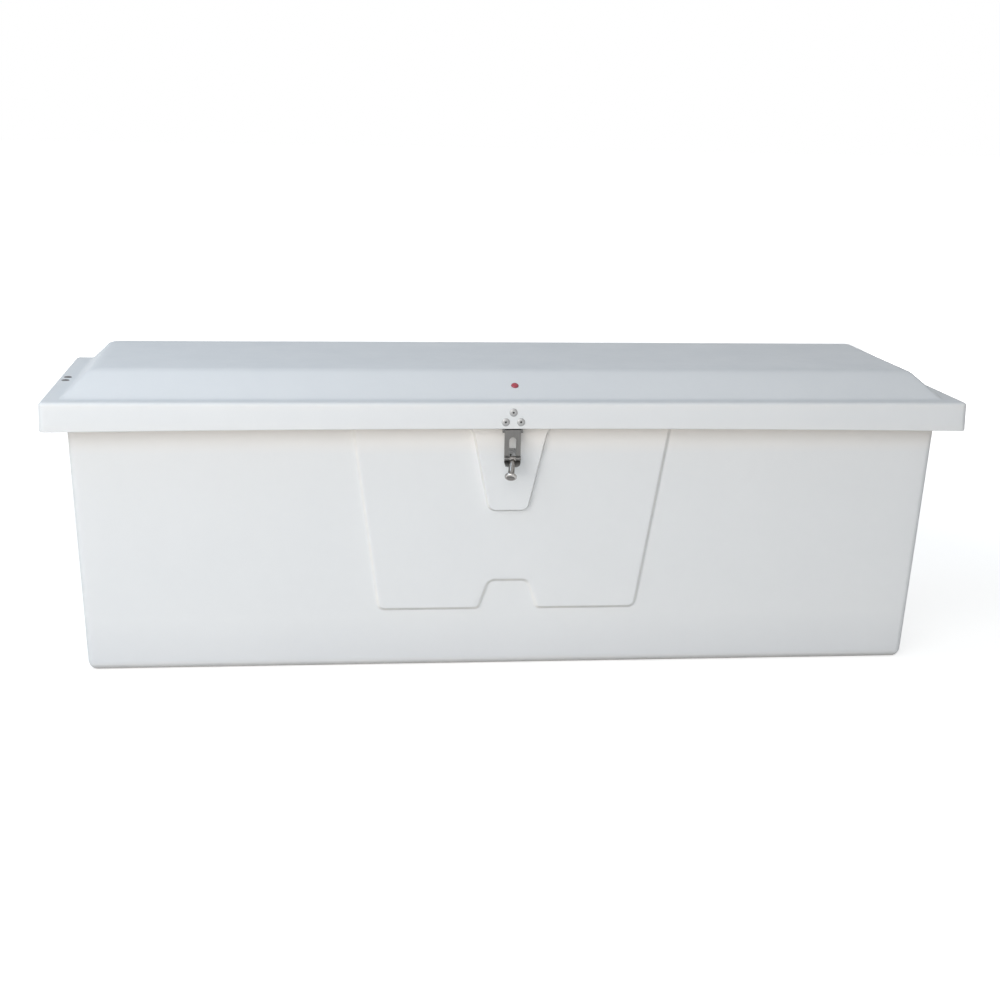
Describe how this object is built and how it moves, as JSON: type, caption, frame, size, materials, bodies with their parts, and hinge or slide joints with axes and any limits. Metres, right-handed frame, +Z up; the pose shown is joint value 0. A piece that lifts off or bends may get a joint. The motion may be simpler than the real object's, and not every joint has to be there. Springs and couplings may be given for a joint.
{
  "type": "dock box",
  "caption": "Long white fibreglass dock box with leaning walls, raised front panel, hinged domed lid on struts and a stainless hasp with a hanging pull.",
  "frame": {"origin": "centre of the tub's flat base", "axes": "+Z up, +X along the length, front with the hasp towards -Y"},
  "size_m": [1.83, 0.6489, 0.618],
  "materials": {
    "gelcoat": "white gelcoat on glass-fibre laminate, gently rippled gloss",
    "stainless": "fine brushed stainless, lightly weathered",
    "polished_steel": "polished stainless",
    "rivet_metal": "plain blind rivet, dull",
    "foam_rubber": "closed-cell foam",
    "black_enamel": "satin black enamel",
    "black_nylon": "moulded nylon",
    "red_plastic": "glossy red plastic"
  },
  "bodies": {
    "tub": {"tub_shell": "gelcoat", "rim_seal": "foam_rubber", "hinge_body_leaf": "stainless", "hinge_pin": "stainless", "hinge_body_rivets": "rivet_metal", "keeper": "stainless", "keeper_backing": "stainless", "keeper_rivets": "rivet_metal", "wall_bracket_left": "stainless", "wall_bracket_right": "stainless", "wall_bracket_rivets": "rivet_metal", "wall_stud_left": "stainless", "wall_stud_right": "stainless"},
    "lid": {"lid_shell": "gelcoat", "hinge_lid_leaf": "stainless", "hinge_lid_rivets": "rivet_metal", "hasp_leaf": "stainless", "hasp_pin": "stainless", "hasp_rivets": "rivet_metal", "lid_bracket_left": "stainless", "lid_bracket_right": "stainless", "lid_bracket_rivets": "rivet_metal", "lid_button": "red_plastic"},
    "strap": {"hasp_strap": "stainless", "pull_pivot_pin": "polished_steel"},
    "pull": {"pull_lever": "polished_steel"},
    "left_rod": {"strut_rod_left": "polished_steel", "rod_socket_left": "black_nylon", "strut_piston_left": "black_nylon"},
    "left_tube": {"strut_tube_left": "black_enamel", "tube_guide_left": "black_nylon", "tube_socket_left": "black_nylon"},
    "right_rod": {"strut_rod_right": "polished_steel", "rod_socket_right": "black_nylon", "strut_piston_right": "black_nylon"},
    "right_tube": {"strut_tube_right": "black_enamel", "tube_guide_right": "black_nylon", "tube_socket_right": "black_nylon"}
  },
  "joints": [
    {"name": "lid_hinge", "type": "hinge", "parent": "tub", "child": "lid", "pos_m": [0, 0.2955, 0.504], "axis": [-1, 0, 0], "range_deg": [0, 75]},
    {"name": "hasp_hinge", "type": "hinge", "parent": "lid", "child": "strap", "pos_m": [-0.006, -0.2965, 0.511], "axis": [-1, 0, 0], "range_deg": [-12, 85]},
    {"name": "pull_hinge", "type": "hinge", "parent": "strap", "child": "pull", "pos_m": [-0.006, -0.3045, 0.4566], "axis": [-1, 0, 0], "range_deg": [0, 90]},
    {"name": "left_rod_pivot", "type": "hinge", "parent": "tub", "child": "left_rod", "pos_m": [-0.83079, 0.16051, 0.22377], "axis": [-1, 0, 0], "range_deg": [0, 37.5]},
    {"name": "left_tube_pivot", "type": "hinge", "parent": "lid", "child": "left_tube", "pos_m": [-0.83079, -0.014, 0.535], "axis": [-1, 0, 0], "range_deg": [-37.5, 0]},
    {"name": "right_rod_pivot", "type": "hinge", "parent": "tub", "child": "right_rod", "pos_m": [0.83079, 0.16051, 0.22377], "axis": [-1, 0, 0], "range_deg": [0, 37.5]},
    {"name": "right_tube_pivot", "type": "hinge", "parent": "lid", "child": "right_tube", "pos_m": [0.83079, -0.014, 0.535], "axis": [-1, 0, 0], "range_deg": [-37.5, 0]}
  ],
  "couplings": [
    {"joint": "left_rod_pivot", "follows": "lid_hinge", "ratio": 0.5},
    {"joint": "left_tube_pivot", "follows": "lid_hinge", "ratio": -0.5},
    {"joint": "right_rod_pivot", "follows": "lid_hinge", "ratio": 0.5},
    {"joint": "right_tube_pivot", "follows": "lid_hinge", "ratio": -0.5}
  ]
}
